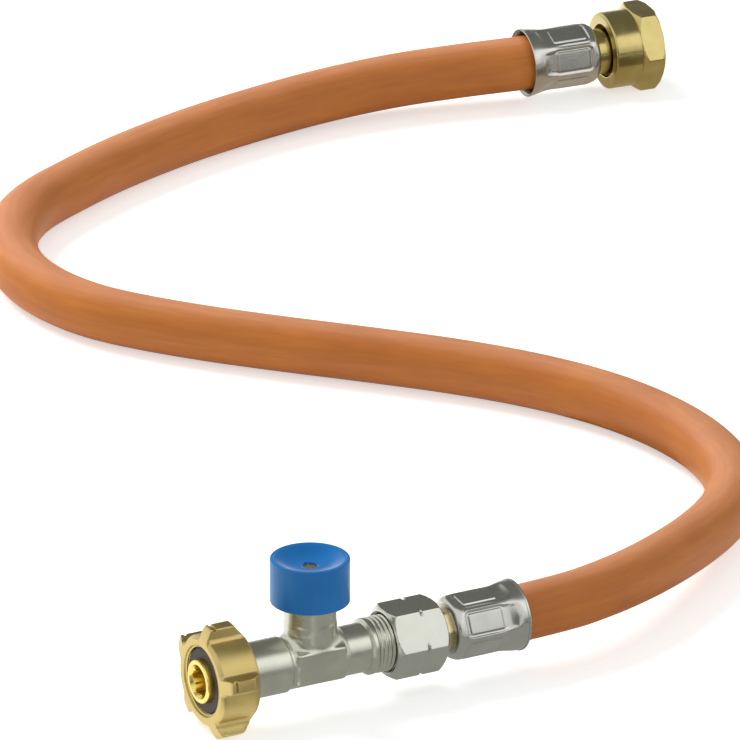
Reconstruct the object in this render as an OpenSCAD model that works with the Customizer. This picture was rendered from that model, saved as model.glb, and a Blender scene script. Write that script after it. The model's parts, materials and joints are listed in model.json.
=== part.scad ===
// High-pressure propane hose for a caravan: a lugged cylinder nut, a hose-rupture valve with a push
// button, a rubber hose with two crimped ferrules, and a swivel nut for the regulator.
//
// The valve's pipe runs along +X and its button points up, +Z. The part lies on Z = 0. X is counted from
// the button's axis inside the valve modules, and on_valve() moves them so that X = 0 is the middle of
// the valve, from the nose of its inlet to the mouth of its ferrule. Lengths are in millimetres.

/* [Cylinder nut] */
// Length of the nut along the pipe
cyl_nut_len = 12.4; // [11:0.1:15]
// Radius of the nut's body, between the lugs
cyl_body_r = 13.2; // [12.4:0.1:14]
// Radius over the grip lugs
cyl_lug_r = 17.2; // [15.5:0.1:20]
// Number of grip lugs
cyl_lugs = 5; // [4:1:8]
// Width of a lug at its tip
cyl_lug_w = 3.4; // [2.5:0.1:5]
// Width of a lug at its foot
cyl_lug_base = 5.6; // [5:0.1:7]
// Angle of the lowest lug from straight down, seen from the front
cyl_lug_turn = -30; // [-36:1:36]
// Inner radius of the W 21.8 x 1/14 thread
cyl_thread_r = 9.75; // [9.75:0.05:10.2]
// Wall behind the thread
cyl_back_wall = 2.2; // [1.8:0.1:3]

/* [Inlet] */
// Outer radius of the turned inlet pipe
inlet_r = 8.1; // [7.6:0.05:8.15]
// Length of the inlet, from the button's axis to its front end
inlet_len = 30; // [29:0.5:34]
// Radius of the nipple's nose, inside the seal
nose_r = 6.3; // [6:0.05:6.6]
// How far the nose stands out in front of the seal
nose_proud = 1.9; // [1:0.1:3]
// Radius of the nipple's flange, which carries the seal and stops the nut
inlet_flange_r = 9.5; // [9.3:0.05:9.6]
// Thickness of that flange
inlet_flange_t = 1.5; // [1.2:0.1:2.5]
// Size across flats of the nipple's hex socket
socket_af = 8.4; // [6:0.1:8.5]
// Depth of the hex socket
socket_depth = 7.4; // [5:0.1:8]
// Thickness of the cylinder seal
cyl_seal_t = 2.5; // [2:0.1:3.5]
// Outer radius of the cylinder seal
cyl_seal_r = 9.5; // [9.2:0.05:9.6]
// How far the seal lies back from the nut's front
cyl_seal_recess = 0.9; // [0.5:0.1:2]

/* [Valve body] */
// Outer radius of the run between stem and thread
run_r = 7.2; // [6.9:0.05:7.4]
// Length of the outlet, from the button's axis to the end of its thread
outlet_len = 32; // [30:0.5:36]
// Half length of the thick middle of the body
middle_half = 8.5; // [8:0.1:9.5]
// Radius of the middle
middle_r = 7.6; // [7.3:0.05:8]
// Width of the flat pads on both sides of the middle
pad_w = 15; // [10:0.5:16]
// Height of the flat pads
pad_h = 9; // [6:0.5:10]
// Distance of each pad from the pipe's axis
pad_y = 8.5; // [8.4:0.05:9]
// Outer (major) radius of the outlet thread, G 3/8
out_thread_r = 8.2; // [8:0.05:8.33]
// Pitch of the outlet thread, 19 to the inch
out_pitch = 1.337; // [1.2:0.001:1.5]
// Radius of the ring in front of the thread
ring_r = 8.2; // [7.8:0.05:8.4]
// Outer radius of the upright stem
stem_r = 7.5; // [7.2:0.1:7.8]
// Height of the stem above the pipe's axis
stem_h = 21; // [20:0.5:21.5]

/* [Button] */
// Outer radius of the button cap
cap_r = 11.35; // [10:0.05:13]
// Height of the cap's lower edge above the pipe's axis
cap_low = 17.6; // [17.2:0.1:18]
// Height of the cap
cap_h = 13.1; // [12:0.1:14]
// Depth of the dished top
cap_dish = 2.4; // [1:0.1:2.6]
// Radius of the hole in the middle of the cap
cap_hole_r = 2.3; // [2:0.05:3]
// Radius of the button's pin
pin_r = 1.6; // [1.4:0.05:1.8]
// Travel of the button
button_travel = 3.5; // [2:0.1:3.8]
// Radius of the return spring, at the middle of its wire
return_spring_r = 4.4; // [4:0.1:4.8]
// Wire radius of the return spring
return_wire_r = 0.45; // [0.3:0.05:0.5]

/* [Flow stop] */
// Radius of the flow poppet's head
poppet_r = 3.7; // [3.2:0.1:3.9]
// Way of the poppet from rest to its seat
poppet_travel = 1.5; // [1:0.1:1.6]
// Radius of the poppet's rod
rod_r = 1.2; // [1:0.05:1.3]
// Wire radius of the poppet's spring
poppet_wire_r = 0.25; // [0.15:0.05:0.25]

/* [Outlet nut] */
// Size across flats
out_nut_af = 19.5; // [19:0.5:22]
// Length of the nut
out_nut_len = 16.6; // [16:0.1:18]
// Length of its threaded bore, up to the shoulder
out_bore_len = 13.95; // [12.5:0.05:14.2]

/* [Hose nipples] */
// Radius of the neck between nut and ferrule
neck_r = 6.5; // [6.2:0.05:6.8]
// Radius of the near nipple's flange, held by the outlet nut
flange_r = 7.4; // [7.2:0.05:7.6]
// Radius of the far nipple's neck
far_neck_r = 6.9; // [6.5:0.05:7.2]
// Thickness of the near nipple's flange
flange_t = 3.5; // [2.5:0.1:4]
// Thickness of the flat seals in both nuts
flat_seal_t = 1.5; // [1:0.1:2]
// Gap between the outlet nut and the near ferrule
near_gap = 3.4; // [3:0.1:5]
// Gap between the far nut and the far ferrule
far_gap = 3.6; // [3:0.1:5]
// Radius of the bore through both nipples
nipple_bore_r = 2.25; // [1.5:0.05:2.4]

/* [Ferrules] */
// Length of a crimped ferrule
ferrule_len = 22.6; // [22:0.1:28]
// Outer radius along the crimp
ferrule_r = 9.2; // [9:0.05:9.4]
// Outer radius of the flared mouth
mouth_r = 10.4; // [10:0.05:10.6]
// Number of pressed pads around the ferrule
pads = 6; // [4:1:6]
// Length of a pressed pad
pressed_len = 12.5; // [8:0.5:13]
// Width of a pressed pad
pressed_w = 6; // [4:0.5:7]
// Depth of a pressed pad
pressed_depth = 0.65; // [0.3:0.05:0.65]

/* [Hose] */
// Outer radius of the hose
hose_r = 8.15; // [8:0.05:8.3]
// Bore radius of the hose
hose_bore_r = 3.15; // [3:0.05:3.4]

/* [Far nut] */
// Size across flats
far_nut_af = 24; // [24:0.5:25]
// Length of the round collar
far_collar_len = 8.4; // [7.5:0.1:9]
// Radius of the round collar
far_collar_r = 11.7; // [11.2:0.05:11.75]
// Length of the hexagon
far_hex_len = 7.5; // [6:0.1:9]
// Radius of the hole in the collar
far_hole_r = 8; // [7.6:0.1:8.3]
// Inner radius of the M20 x 1.5 thread
far_thread_r = 9.19; // [9.15:0.01:9.25]
// Wall between the collar's face and the flange
far_back_wall = 3; // [2:0.1:4]

/* [Hidden] */

fine = 96;        // facets of a large round
small = 48;       // facets of a small round
touch = 0.02;     // gap between pieces that are screwed or pressed together
run_gap = 0.08;   // radial gap of a piece that turns or slides on another
free_gap = 0.15;  // radial gap of a loose nut
end_gap = 0.1;    // gap along the axis between a turning piece and its stop
stop_gap = 0.3;   // gap left beside a stop
eps = 0.01;

// ---- Cylinder nut and inlet, along the pipe from the button's axis ----
inlet_end = -inlet_len;
inlet_flange_x = inlet_end - inlet_flange_t;
cyl_seal_x = inlet_flange_x - cyl_seal_t;
nose_x = cyl_seal_x - nose_proud;
cyl_nut_x = cyl_seal_x - cyl_seal_recess;
cyl_nut_end = cyl_nut_x + cyl_nut_len;
cyl_wall_x = cyl_nut_end - cyl_back_wall;
cyl_thread_depth = 1.15;                  // half the difference of the thread's two diameters
notch_x = cyl_nut_x + 2.6;                // ring of notches that marks a left-hand thread
notch_depth = 1;
ring_bore_r = inlet_r + run_gap;
ring_sleeve_r = ring_bore_r + 0.8;
ring_lip_r = ring_sleeve_r + 0.5;
ring_lip_t = 0.5;
ring_foot_t = 0.7;
cyl_hole_r = ring_sleeve_r + run_gap;
socket_x = nose_x + socket_depth;
inlet_tail_len = 10;
inlet_tail_r = 5.2;
inlet_bore_r = 3;

// ---- Bores and inner pieces of the valve ----
chamber_r = 4.5;                          // bore of the flow stop
outlet_bore_r = 3.5;                      // bore from the seat to the outlet
seat_back_x = -9;                         // step that the seat lies against
seat_t = 2;
seat_bore_r = 2.4;
poppet_head_t = 1.5;
poppet_back_x = seat_back_x - seat_t - poppet_travel;
rod_end_x = -pin_r - poppet_travel - stop_gap;
clip_t = 0.6;
poppet_clip_x = rod_end_x - 0.8 - clip_t;
guide_t = 1.5;
guide_x = poppet_clip_x - end_gap - guide_t;
poppet_spring_r = rod_r + poppet_wire_r + 0.4;
gland_r = 5.5;
gland_low = 10.5;                         // underside of the gland bush above the pipe's axis
gland_top = 17;
pin_chamber_r = 4;
pin_low = button_travel - 0.9;            // pressed, the pin's tip goes 0.9 below the pipe's axis
o_ring_wire_r = 0.9;
o_ring_z = 13.8;
pin_clip_z = gland_low - stop_gap - clip_t;
clip_depth = 0.35;                        // depth of the groove for each clip
cap_top = cap_low + cap_h;
cap_floor = cap_top - cap_dish;
cap_floor_t = 2.2;
cap_ceiling = cap_floor - cap_floor_t;
cap_bore_r = stem_r + 0.6;
pin_top = cap_floor - 0.7;

// ---- Outlet ----
out_thread_x = 18.8;
thread_depth = 0.8;
ring_len = 1.2;
ring_x = out_thread_x - 0.6 - ring_len;
near_face_x = outlet_len + flat_seal_t;
near_shoulder_x = near_face_x + flange_t;
out_nut_x = near_shoulder_x + 0.05 - out_bore_len;
out_nut_end = out_nut_x + out_nut_len;
near_ferrule_x = out_nut_end + near_gap;
near_mouth_x = near_ferrule_x + ferrule_len;
neck_af = 2 * (neck_r + 0.1) * cos(30);   // the neck's flats, for a spanner
hook_r = 5;                               // groove that the ferrule's end wall is crimped into
hook_len = 1.7;
pressed_from = 3;                         // start of the pressed pads, from the ferrule's closed end
tail_r = 3.7;                             // radius over the barbs inside the hose
tail_len = ferrule_len - 4.5;

// ---- Places in the row's frame ----
stem_x = -(nose_x + near_mouth_x) / 2;
lug_half = asin(cyl_lug_w / 2 / cyl_lug_r);   // half the angle that a lug's tip takes
axis_y = (lug_reach(-90) - lug_reach(90)) / 2;
axis_z = lug_reach(0);
far_axis_z = far_nut_af / 2;
far_heading = -6;                         // the far end's direction, turned from +X about Z
far_ferrule_end = ferrule_len;
far_nut_x = far_ferrule_end + far_gap;
far_wall_x = far_nut_x + far_back_wall;
far_flange_t = 2.4;
far_flange_r = 8.9;
far_flange_x = far_wall_x + end_gap;
far_seal_x = far_flange_x + far_flange_t;
far_thread_x = far_seal_x + flat_seal_t + 0.2;
far_nut_end = far_nut_x + far_collar_len + far_hex_len;
far_relief_r = 10.1;

// The hose's way over the surface, from the near ferrule's mouth to the far one's.
exit_point = [stem_x + near_mouth_x, axis_y, axis_z];
far_point = [261.2, 377, far_axis_z];
route = [[69, 1.8, 15.6], [81.2, 5, 15.3], [93.2, 9.9, 14.7], [104.7, 16.2, 13.8], [116.2, 23.5, 12.8],
    [128, 32, 11.8], [139.6, 41.8, 10.8], [150.6, 53.6, 9.8], [159.6, 68.1, 9], [165.3, 86.1, 8.4],
    [166.8, 105.6, 8.2], [164, 126.1, 8.2], [157.3, 146.2, 8.2], [146.5, 166, 8.2], [132, 185.5, 8.2],
    [114.5, 205, 8.2], [97.5, 223, 8.2], [81.5, 241, 8.2], [68.5, 258, 8.2], [60, 272.5, 8.2],
    [55.5, 287.5, 8.2], [54.5, 302.5, 8.2], [57, 317, 8.2], [62.6, 330.6, 8.2], [71.2, 343, 8.2],
    [83, 353.5, 8.2], [99, 362.3, 8.2], [120.5, 372, 8.2], [146.8, 380.8, 8.2], [172.2, 386.2, 8.4],
    [197.2, 388.2, 9.2], [220.6, 386.6, 10.3], [241.5, 382, 11.3]];
far_dir = [cos(far_heading), sin(far_heading), 0];
hose_sides = 12;
flat_share = cos(180 / hose_sides);       // a facet's distance from the axis, as a share of its corner's
crimp_r = ferrule_r - 1.1;                // hose radius where the ferrule squeezes it
crimp_bore_r = (tail_r + 0.05) / flat_share;
hose_in = 1.9;                            // where the hose starts behind the ferrule's end
crimp_end = ferrule_len - 5.5;
full_from = ferrule_len - 2;

// ---- Helpers ----
module on_valve() translate([stem_x, axis_y, axis_z]) children();

module on_far_end() translate(far_point) rotate([0, 0, far_heading]) children();

// A turned piece along X, from points [radius, x].
module turned(points, facets = fine) rotate([0, 90, 0]) rotate_extrude($fn = facets) polygon(points);

module rod_x(r, from, to, facets = fine)
    translate([from, 0, 0]) rotate([0, 90, 0]) cylinder(r = r, h = to - from, $fn = facets);

// A hexagonal bar along X with one flat down.
module hex_x(af, from, to)
    translate([from, 0, 0]) rotate([0, 90, 0]) rotate([0, 0, 30])
        cylinder(r = af / 2 / cos(30), h = to - from, $fn = 6);

// How far the lugs reach from the nut's axis, in the direction of an angle of lug_star().
function lug_reach(angle) = max([for (i = [0 : cyl_lugs - 1])
    let (off = abs((cyl_lug_turn + 360 * i / cyl_lugs - angle + 900) % 360 - 180))
        cyl_lug_r * cos(max(0, off - lug_half))]);

function unit(v) = v / norm(v);

function between(a, b, c, d, t) = 0.5 * (2 * b + (c - a) * t + (2 * a - 5 * b + 4 * c - d) * t * t
    + (3 * b - a - 3 * c + d) * t * t * t);

// A smooth line from the second to the last point but one, with steps points to each stretch.
function smooth(p, steps) = concat([for (i = [1 : len(p) - 3]) for (k = [0 : steps - 1])
    between(p[i - 1], p[i], p[i + 1], p[i + 2], k / steps)], [p[len(p) - 2]]);

function heading(p, i) = unit(p[min(i + 1, len(p) - 1)] - p[max(i - 1, 0)]);

function ring_at(c, t, r, n) = let (side = unit(cross(t, [0, 0, 1])), up = cross(side, t))
    [for (j = [0 : n - 1]) c + r * (cos(360 * j / n) * side + sin(360 * j / n) * up)];

// Triangles of the skin between two neighbouring rings, for all rings of a tube.
function skin(rings, n, first, flip) = [for (i = [0 : rings - 2]) for (j = [0 : n - 1]) for (half = [0, 1])
    let (k = (j + 1) % n, a = first + i * n + j, b = first + i * n + k, c = a + n, d = b + n,
        tri = half == 0 ? [a, b, d] : [a, d, c]) flip ? [tri[2], tri[1], tri[0]] : tri];

// A round wire along points p.
module wire(p, r, n = 8) {
    m = len(p);
    polyhedron([for (i = [0 : m - 1]) for (q = ring_at(p[i], heading(p, i), r, n)) q],
        concat([[for (j = [0 : n - 1]) n - 1 - j]], skin(m, n, 0, false),
            [[for (j = [0 : n - 1]) (m - 1) * n + j]]));
}

// A coil spring on Z = 0 of height h, outside to outside.
module coil(r, wire_r, h, turns) {
    steps = 20;
    rise = h - 2 * wire_r;
    wire([for (i = [0 : turns * steps]) let (a = 360 * i / steps)
        [r * cos(a), r * sin(a), wire_r + rise * i / (turns * steps)]], wire_r);
}

// A snap ring along Z, open at one side.
module snap_ring(inner, outer, t) difference() {
    cylinder(r = outer, h = t, $fn = small);
    translate([0, 0, -eps]) cylinder(r = inner, h = t + 2 * eps, $fn = small);
    translate([0, -inner * 0.7, -eps]) cube([outer + eps, inner * 1.4, t + 2 * eps]);
}

// ---- Cylinder side ----
module cylinder_nut() color("darkgoldenrod") on_valve() difference() {
    union() {
        turned([[0, cyl_nut_x], [cyl_body_r - 0.7, cyl_nut_x], [cyl_body_r, cyl_nut_x + 1.2],
            [cyl_body_r, cyl_nut_end - 1], [cyl_body_r - 0.6, cyl_nut_end], [0, cyl_nut_end]]);
        intersection() {
            rotate([0, 90, 0]) translate([0, 0, cyl_nut_x]) linear_extrude(cyl_nut_len) lug_star();
            turned([[0, cyl_nut_x], [cyl_lug_r - 2.2, cyl_nut_x], [cyl_lug_r, cyl_nut_x + 1.5],
                [cyl_lug_r, notch_x - notch_depth / 2], [cyl_lug_r - notch_depth, notch_x],
                [cyl_lug_r, notch_x + notch_depth / 2], [cyl_lug_r, cyl_nut_end - 4],
                [cyl_body_r - 0.6, cyl_nut_end], [0, cyl_nut_end]]);
        }
    }
    turned([[0, cyl_nut_x - 1], [cyl_thread_r + cyl_thread_depth, cyl_nut_x - 1],
        [cyl_thread_r + cyl_thread_depth, cyl_nut_x], [cyl_thread_r, cyl_nut_x + 0.7],
        [cyl_thread_r, cyl_wall_x], [0, cyl_wall_x]]);
    rod_x(cyl_hole_r, cyl_wall_x - eps, cyl_nut_end + eps);
}

// The outline of the lugs. An angle of 0 is straight down, and angles grow towards +Y.
module lug_star() for (i = [0 : cyl_lugs - 1]) rotate(cyl_lug_turn + 360 * i / cyl_lugs)
    polygon([[0, -cyl_lug_base / 2], [cyl_body_r - 1, -cyl_lug_base / 2],
        [cyl_lug_r - 1.5, -cyl_lug_w / 2], [cyl_lug_r + 1, -cyl_lug_w / 2],
        [cyl_lug_r + 1, cyl_lug_w / 2], [cyl_lug_r - 1.5, cyl_lug_w / 2],
        [cyl_body_r - 1, cyl_lug_base / 2], [0, cyl_lug_base / 2]]);

module nut_slip_ring() color("peru") on_valve() turned([
    [ring_bore_r, cyl_wall_x - end_gap - ring_lip_t], [ring_lip_r, cyl_wall_x - end_gap - ring_lip_t],
    [ring_lip_r, cyl_wall_x - end_gap], [ring_sleeve_r, cyl_wall_x - end_gap],
    [ring_sleeve_r, cyl_nut_end + end_gap], [ring_sleeve_r + 0.5, cyl_nut_end + end_gap],
    [ring_sleeve_r + 0.5, cyl_nut_end + end_gap + ring_foot_t],
    [ring_bore_r, cyl_nut_end + end_gap + ring_foot_t]]);

module cylinder_seal() color("dimgray") on_valve() difference() {
    rod_x(cyl_seal_r, cyl_seal_x, inlet_flange_x - touch);
    rod_x(nose_r + touch, cyl_seal_x - 1, inlet_flange_x + 1);
}

module inlet_nipple() color("goldenrod") on_valve() difference() {
    turned([[0, nose_x], [nose_r - 0.6, nose_x], [nose_r, nose_x + 0.6], [nose_r, inlet_flange_x],
        [inlet_flange_r, inlet_flange_x], [inlet_flange_r, inlet_end - touch],
        [inlet_tail_r, inlet_end - touch], [inlet_tail_r, inlet_end + inlet_tail_len],
        [0, inlet_end + inlet_tail_len]]);
    hex_x(socket_af, nose_x - 1, socket_x);
    rod_x(inlet_bore_r, socket_x - eps, inlet_end + inlet_tail_len + 1, small);
}

// ---- Valve body ----
module valve_body() color("silver") on_valve() difference() {
    union() {
        rod_x(inlet_r, inlet_end, -middle_half + eps);
        turned([[0, -middle_half], [middle_r - 0.6, -middle_half], [middle_r, -middle_half + 1],
            [middle_r, middle_half - 1.5], [run_r, middle_half], [run_r, ring_x - 1.2], [ring_r, ring_x],
            [ring_r, ring_x + ring_len], [out_thread_r - thread_depth - 0.1, ring_x + ring_len],
            [out_thread_r - thread_depth - 0.1, out_thread_x + eps], [0, out_thread_x + eps]]);
        turned(concat([[0, out_thread_x]], thread_profile(out_thread_x, outlet_len), [[0, outlet_len]]));
        translate([-pad_w / 2, -pad_y, -pad_h / 2]) cube([pad_w, 2 * pad_y, pad_h]);
        cylinder(r1 = stem_r - 0.7, r2 = stem_r - 0.7, h = middle_r + 1.2, $fn = fine);
        translate([0, 0, middle_r + 0.6]) cylinder(r1 = stem_r - 0.7, r2 = stem_r, h = 0.6, $fn = fine);
        translate([0, 0, middle_r + 1.2]) cylinder(r = stem_r, h = stem_h - middle_r - 1.2, $fn = fine);
    }
    rod_x(inlet_tail_r + touch, inlet_end - 1, inlet_end + inlet_tail_len);
    rod_x(chamber_r, inlet_end + inlet_tail_len - eps, seat_back_x);
    rod_x(outlet_bore_r, seat_back_x - eps, outlet_len + 1);
    cylinder(r = pin_chamber_r, h = gland_low + eps, $fn = small);
    translate([0, 0, gland_low]) cylinder(r = gland_r + touch, h = stem_h, $fn = fine);
}

// Ridges of a thread as rings, one to each pitch, from points [radius, x].
function thread_profile(from, to) = let (n = floor((to - from - 0.6) / out_pitch), root = out_thread_r - thread_depth)
    concat([[root, from]],
        [for (i = [0 : n - 1]) for (q = [[0, 0.2], [thread_depth, 0.52], [thread_depth, 0.68], [0, 1]])
            [root + q[0], from + (i + q[1]) * out_pitch]], [[root, to]]);

// ---- Flow stop ----
module flow_seat() color("gold") on_valve() difference() {
    rod_x(chamber_r - touch, seat_back_x - seat_t, seat_back_x - touch, small);
    rod_x(seat_bore_r, seat_back_x - seat_t - 1, seat_back_x + 1, small);
}

module flow_poppet() color("tan") on_valve() turned([
    [0, poppet_back_x - poppet_head_t], [poppet_r - 1, poppet_back_x - poppet_head_t],
    [poppet_r, poppet_back_x - 0.5], [poppet_r, poppet_back_x], [rod_r, poppet_back_x],
    [rod_r, poppet_clip_x], [rod_r - clip_depth, poppet_clip_x],
    [rod_r - clip_depth, poppet_clip_x + clip_t], [rod_r, poppet_clip_x + clip_t],
    [rod_r, rod_end_x], [0, rod_end_x]], small);

module poppet_clip() color("slategray") on_valve() translate([poppet_clip_x + touch, 0, 0])
    rotate([0, 90, 0]) snap_ring(rod_r - clip_depth + touch, rod_r + 0.9, clip_t - 2 * touch);

module poppet_guide() color("khaki") on_valve() difference() {
    rod_x(outlet_bore_r - touch, guide_x, guide_x + guide_t, small);
    rod_x(rod_r + run_gap, guide_x - 1, guide_x + guide_t + 1, small);
    for (a = [0 : 90 : 270]) rotate([a + 45, 0, 0])
        translate([guide_x - 1, outlet_bore_r - 0.9, -0.8]) cube([guide_t + 2, 2, 1.6]);
}

module poppet_spring() color("lightgray") on_valve() translate([poppet_back_x + touch, 0, 0])
    rotate([0, 90, 0]) coil(poppet_spring_r, poppet_wire_r, guide_x - poppet_back_x - 2 * touch, 5);

// ---- Button ----
module gland_bush() color("goldenrod") on_valve() rotate_extrude($fn = fine) polygon([
    [pin_r + run_gap, gland_low + touch], [gland_r, gland_low + touch], [gland_r, gland_top],
    [pin_r + run_gap, gland_top], [pin_r + run_gap, o_ring_z + o_ring_wire_r + 0.1],
    [pin_r + 2 * o_ring_wire_r + 0.1, o_ring_z + o_ring_wire_r + 0.1],
    [pin_r + 2 * o_ring_wire_r + 0.1, o_ring_z - o_ring_wire_r - 0.1],
    [pin_r + run_gap, o_ring_z - o_ring_wire_r - 0.1]]);

module stem_o_ring() color("black") on_valve() translate([0, 0, o_ring_z]) rotate_extrude($fn = small)
    translate([pin_r + 0.04 + o_ring_wire_r, 0]) circle(r = o_ring_wire_r, $fn = 32);

module button_pin() color("goldenrod") on_valve() rotate_extrude($fn = small) polygon([
    [0, pin_low], [pin_r - 0.6, pin_low], [pin_r, pin_low + 1], [pin_r, pin_clip_z],
    [pin_r - clip_depth, pin_clip_z], [pin_r - clip_depth, pin_clip_z + clip_t],
    [pin_r, pin_clip_z + clip_t], [pin_r, cap_ceiling], [cap_hole_r - touch, cap_ceiling],
    [cap_hole_r - touch, pin_top - 0.3], [cap_hole_r - 0.3, pin_top], [0, pin_top]]);

module pin_clip() color("slategray") on_valve() translate([0, 0, pin_clip_z + touch])
    snap_ring(pin_r - clip_depth + touch, pin_r + 1.5, clip_t - 2 * touch);

module return_spring() color("lightgray") on_valve() translate([0, 0, gland_top + touch])
    coil(return_spring_r, return_wire_r, cap_ceiling - gland_top - 2 * touch, 5);

module button_cap() color("royalblue") on_valve() difference() {
    rotate_extrude($fn = fine) polygon(concat([[0, cap_low], [cap_r - 0.4, cap_low], [cap_r, cap_low + 0.4]],
        [for (a = [0 : 15 : 90]) [cap_r - 1.2 + 1.2 * cos(a), cap_top - 1.2 + 1.2 * sin(a)]],
        [for (s = [0 : 0.1 : 1]) [(cap_r - 1.8) * (1 - s) + (cap_hole_r + 1) * s,
            cap_top - 0.2 - (cap_dish - 0.2) * (1 - pow(1 - s, 2))]], [[0, cap_floor]]));
    translate([0, 0, cap_low - 1]) cylinder(r = cap_bore_r, h = cap_ceiling - cap_low + 1, $fn = fine);
    cylinder(r = cap_hole_r, h = cap_top + 1, $fn = small);
}

// ---- Outlet and near end of the hose ----
module outlet_seal() color("darkslategray") on_valve() difference() {
    rod_x(flange_r - 0.2, outlet_len + touch, near_face_x - touch);
    rod_x(outlet_bore_r + 0.5, outlet_len - 1, near_face_x + 1, small);
}

// The outline of a turned hexagon nut from x a to x b, chamfered at both ends.
function nut_outline(af, a, b, notch = 0) = let (corner = af / 2 / cos(30), mid = (a + b) / 2, c = corner - af / 2 + 0.3)
    concat([[0, a], [af / 2 - 0.3, a], [corner + 0.1, a + c * 0.7]],
        notch == 0 ? [] : [[corner + 0.1, mid - 1], [corner + 0.1 - notch, mid], [corner + 0.1, mid + 1]],
        [[corner + 0.1, b - c * 0.7], [af / 2 - 0.3, b], [0, b]]);

module outlet_nut() color("gainsboro") on_valve() difference() {
    intersection() {
        hex_x(out_nut_af, out_nut_x, out_nut_end);
        turned(nut_outline(out_nut_af, out_nut_x, out_nut_end, 1));
    }
    turned([[0, out_nut_x - 1], [out_thread_r + 0.7, out_nut_x - 1], [out_thread_r + 0.7, out_nut_x],
        [out_thread_r + free_gap, out_nut_x + 0.6], [out_thread_r + free_gap, near_shoulder_x + 0.05],
        [0, near_shoulder_x + 0.05]]);
    rod_x(neck_r + 0.3, near_shoulder_x, out_nut_end + 1);
}

// The part of a nipple inside ferrule and hose. It starts at x = 0, the ferrule's end, and runs to +X.
function tail_profile() = let (n = 5, barb = (tail_len - hook_len - 1) / n)
    concat([[nipple_bore_r, -eps], [hook_r - touch, -eps], [hook_r - touch, hook_len], [tail_r - 0.6, hook_len]],
        [for (i = [0 : n - 1]) for (q = [[-0.6, 0.05], [0, 0.3], [-0.6, 1]])
            [tail_r + q[0], hook_len + (i + q[1]) * barb]], [[tail_r - 1, tail_len], [nipple_bore_r, tail_len]]);

module near_nipple() color("goldenrod") on_valve() {
    difference() {
        union() {
            turned([[0, near_face_x], [flange_r - 0.4, near_face_x], [flange_r, near_face_x + 0.4],
                [flange_r, near_shoulder_x], [neck_r, near_shoulder_x], [neck_r, out_nut_end - 1],
                [0, out_nut_end - 1]]);
            hex_x(neck_af, out_nut_end - 1 - eps, near_ferrule_x - touch);
        }
        rod_x(nipple_bore_r, near_face_x - 1, near_ferrule_x + 1, small);
    }
    translate([near_ferrule_x - touch, 0, 0]) turned(tail_profile(), small);
}

// A crimped ferrule from its closed end at x = 0 to its flared mouth.
module ferrule() {
    wall = 1;
    flare = ferrule_len - 6.5;
    difference() {
        turned(concat([[0, 0]],
            [for (a = [0 : 22.5 : 90]) [ferrule_r - 1.6 + 1.6 * sin(a), 1.6 - 1.6 * cos(a)]],
            [[ferrule_r, flare], [ferrule_r + 0.35, flare + 2], [mouth_r - 0.25, ferrule_len - 2.2],
                [mouth_r, ferrule_len - 1.2], [mouth_r - 0.2, ferrule_len - 0.4],
                [mouth_r - 0.6, ferrule_len], [0, ferrule_len]]));
        rod_x(hook_r + touch, -1, hook_len, small);
        turned([[0, hook_len - 0.2], [ferrule_r - wall, hook_len - 0.2], [ferrule_r - wall, flare],
            [ferrule_r - wall + 0.35, flare + 2], [mouth_r - wall - 0.25, ferrule_len - 2.2],
            [mouth_r - wall, ferrule_len - 1.2], [mouth_r - wall, ferrule_len + 1], [0, ferrule_len + 1]]);
        for (i = [0 : pads - 1]) rotate([26 + 360 * i / pads, 0, 0])
            translate([pressed_from, -ferrule_r - 2 + pressed_depth, -pressed_w / 2])
                cube([pressed_len, 2, pressed_w]);
    }
}

module near_ferrule() color("lightslategray") on_valve() translate([near_ferrule_x, 0, 0]) ferrule();

// ---- Hose ----
// Each ring of the tube is [centre, outer radius, bore radius].
function end_rings(mouth, dir) = [for (q = [[hose_in, crimp_r, crimp_bore_r], [crimp_end, crimp_r, crimp_bore_r],
    [full_from, hose_r, hose_bore_r / flat_share]]) [mouth + dir * (ferrule_len - q[0]), q[1], q[2]]];

module hose() color("chocolate") {
    near = end_rings(exit_point, [-1, 0, 0]);
    far = end_rings(far_point, far_dir);
    line = smooth(concat([exit_point - [12, 0, 0], exit_point], route, [far_point, far_point + 12 * far_dir]), 2);
    rings = concat(near, [for (p = line) [p, hose_r, hose_bore_r / flat_share]], [far[2], far[1], far[0]]);
    centre = [for (q = rings) q[0]];
    m = len(rings);
    n = hose_sides;
    last = (m - 1) * n;
    polyhedron(concat([for (i = [0 : m - 1]) for (q = ring_at(centre[i], heading(centre, i), rings[i][1], n)) q],
            [for (i = [0 : m - 1]) for (q = ring_at(centre[i], heading(centre, i), rings[i][2], n)) q]),
        concat(skin(m, n, 0, false), skin(m, n, m * n, true), end_face(0, m * n, n, false),
            end_face(last, m * n + last, n, true)));
}

// The flat ring at an end, between the outer corners from a and the inner corners from b.
function end_face(a, b, n, flip) = [for (j = [0 : n - 1]) for (half = [0, 1]) let (k = (j + 1) % n,
    tri = half == 0 ? [a + j, a + k, b + k] : [a + j, b + k, b + j]) flip ? tri : [tri[2], tri[1], tri[0]]];

// ---- Far end ----
module far_ferrule() color("lightslategray") on_far_end() translate([ferrule_len, 0, 0])
    mirror([1, 0, 0]) ferrule();

module far_nipple() color("goldenrod") on_far_end() {
    difference() {
        turned([[0, far_ferrule_end + touch], [far_neck_r, far_ferrule_end + touch], [far_neck_r, far_flange_x],
            [far_flange_r, far_flange_x], [far_flange_r, far_seal_x - 0.4], [far_flange_r - 0.4, far_seal_x],
            [0, far_seal_x]]);
        rod_x(nipple_bore_r, far_ferrule_end - 1, far_seal_x + 1, small);
    }
    translate([far_ferrule_end + touch, 0, 0]) mirror([1, 0, 0])
        turned(tail_profile(), small);
}

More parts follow.
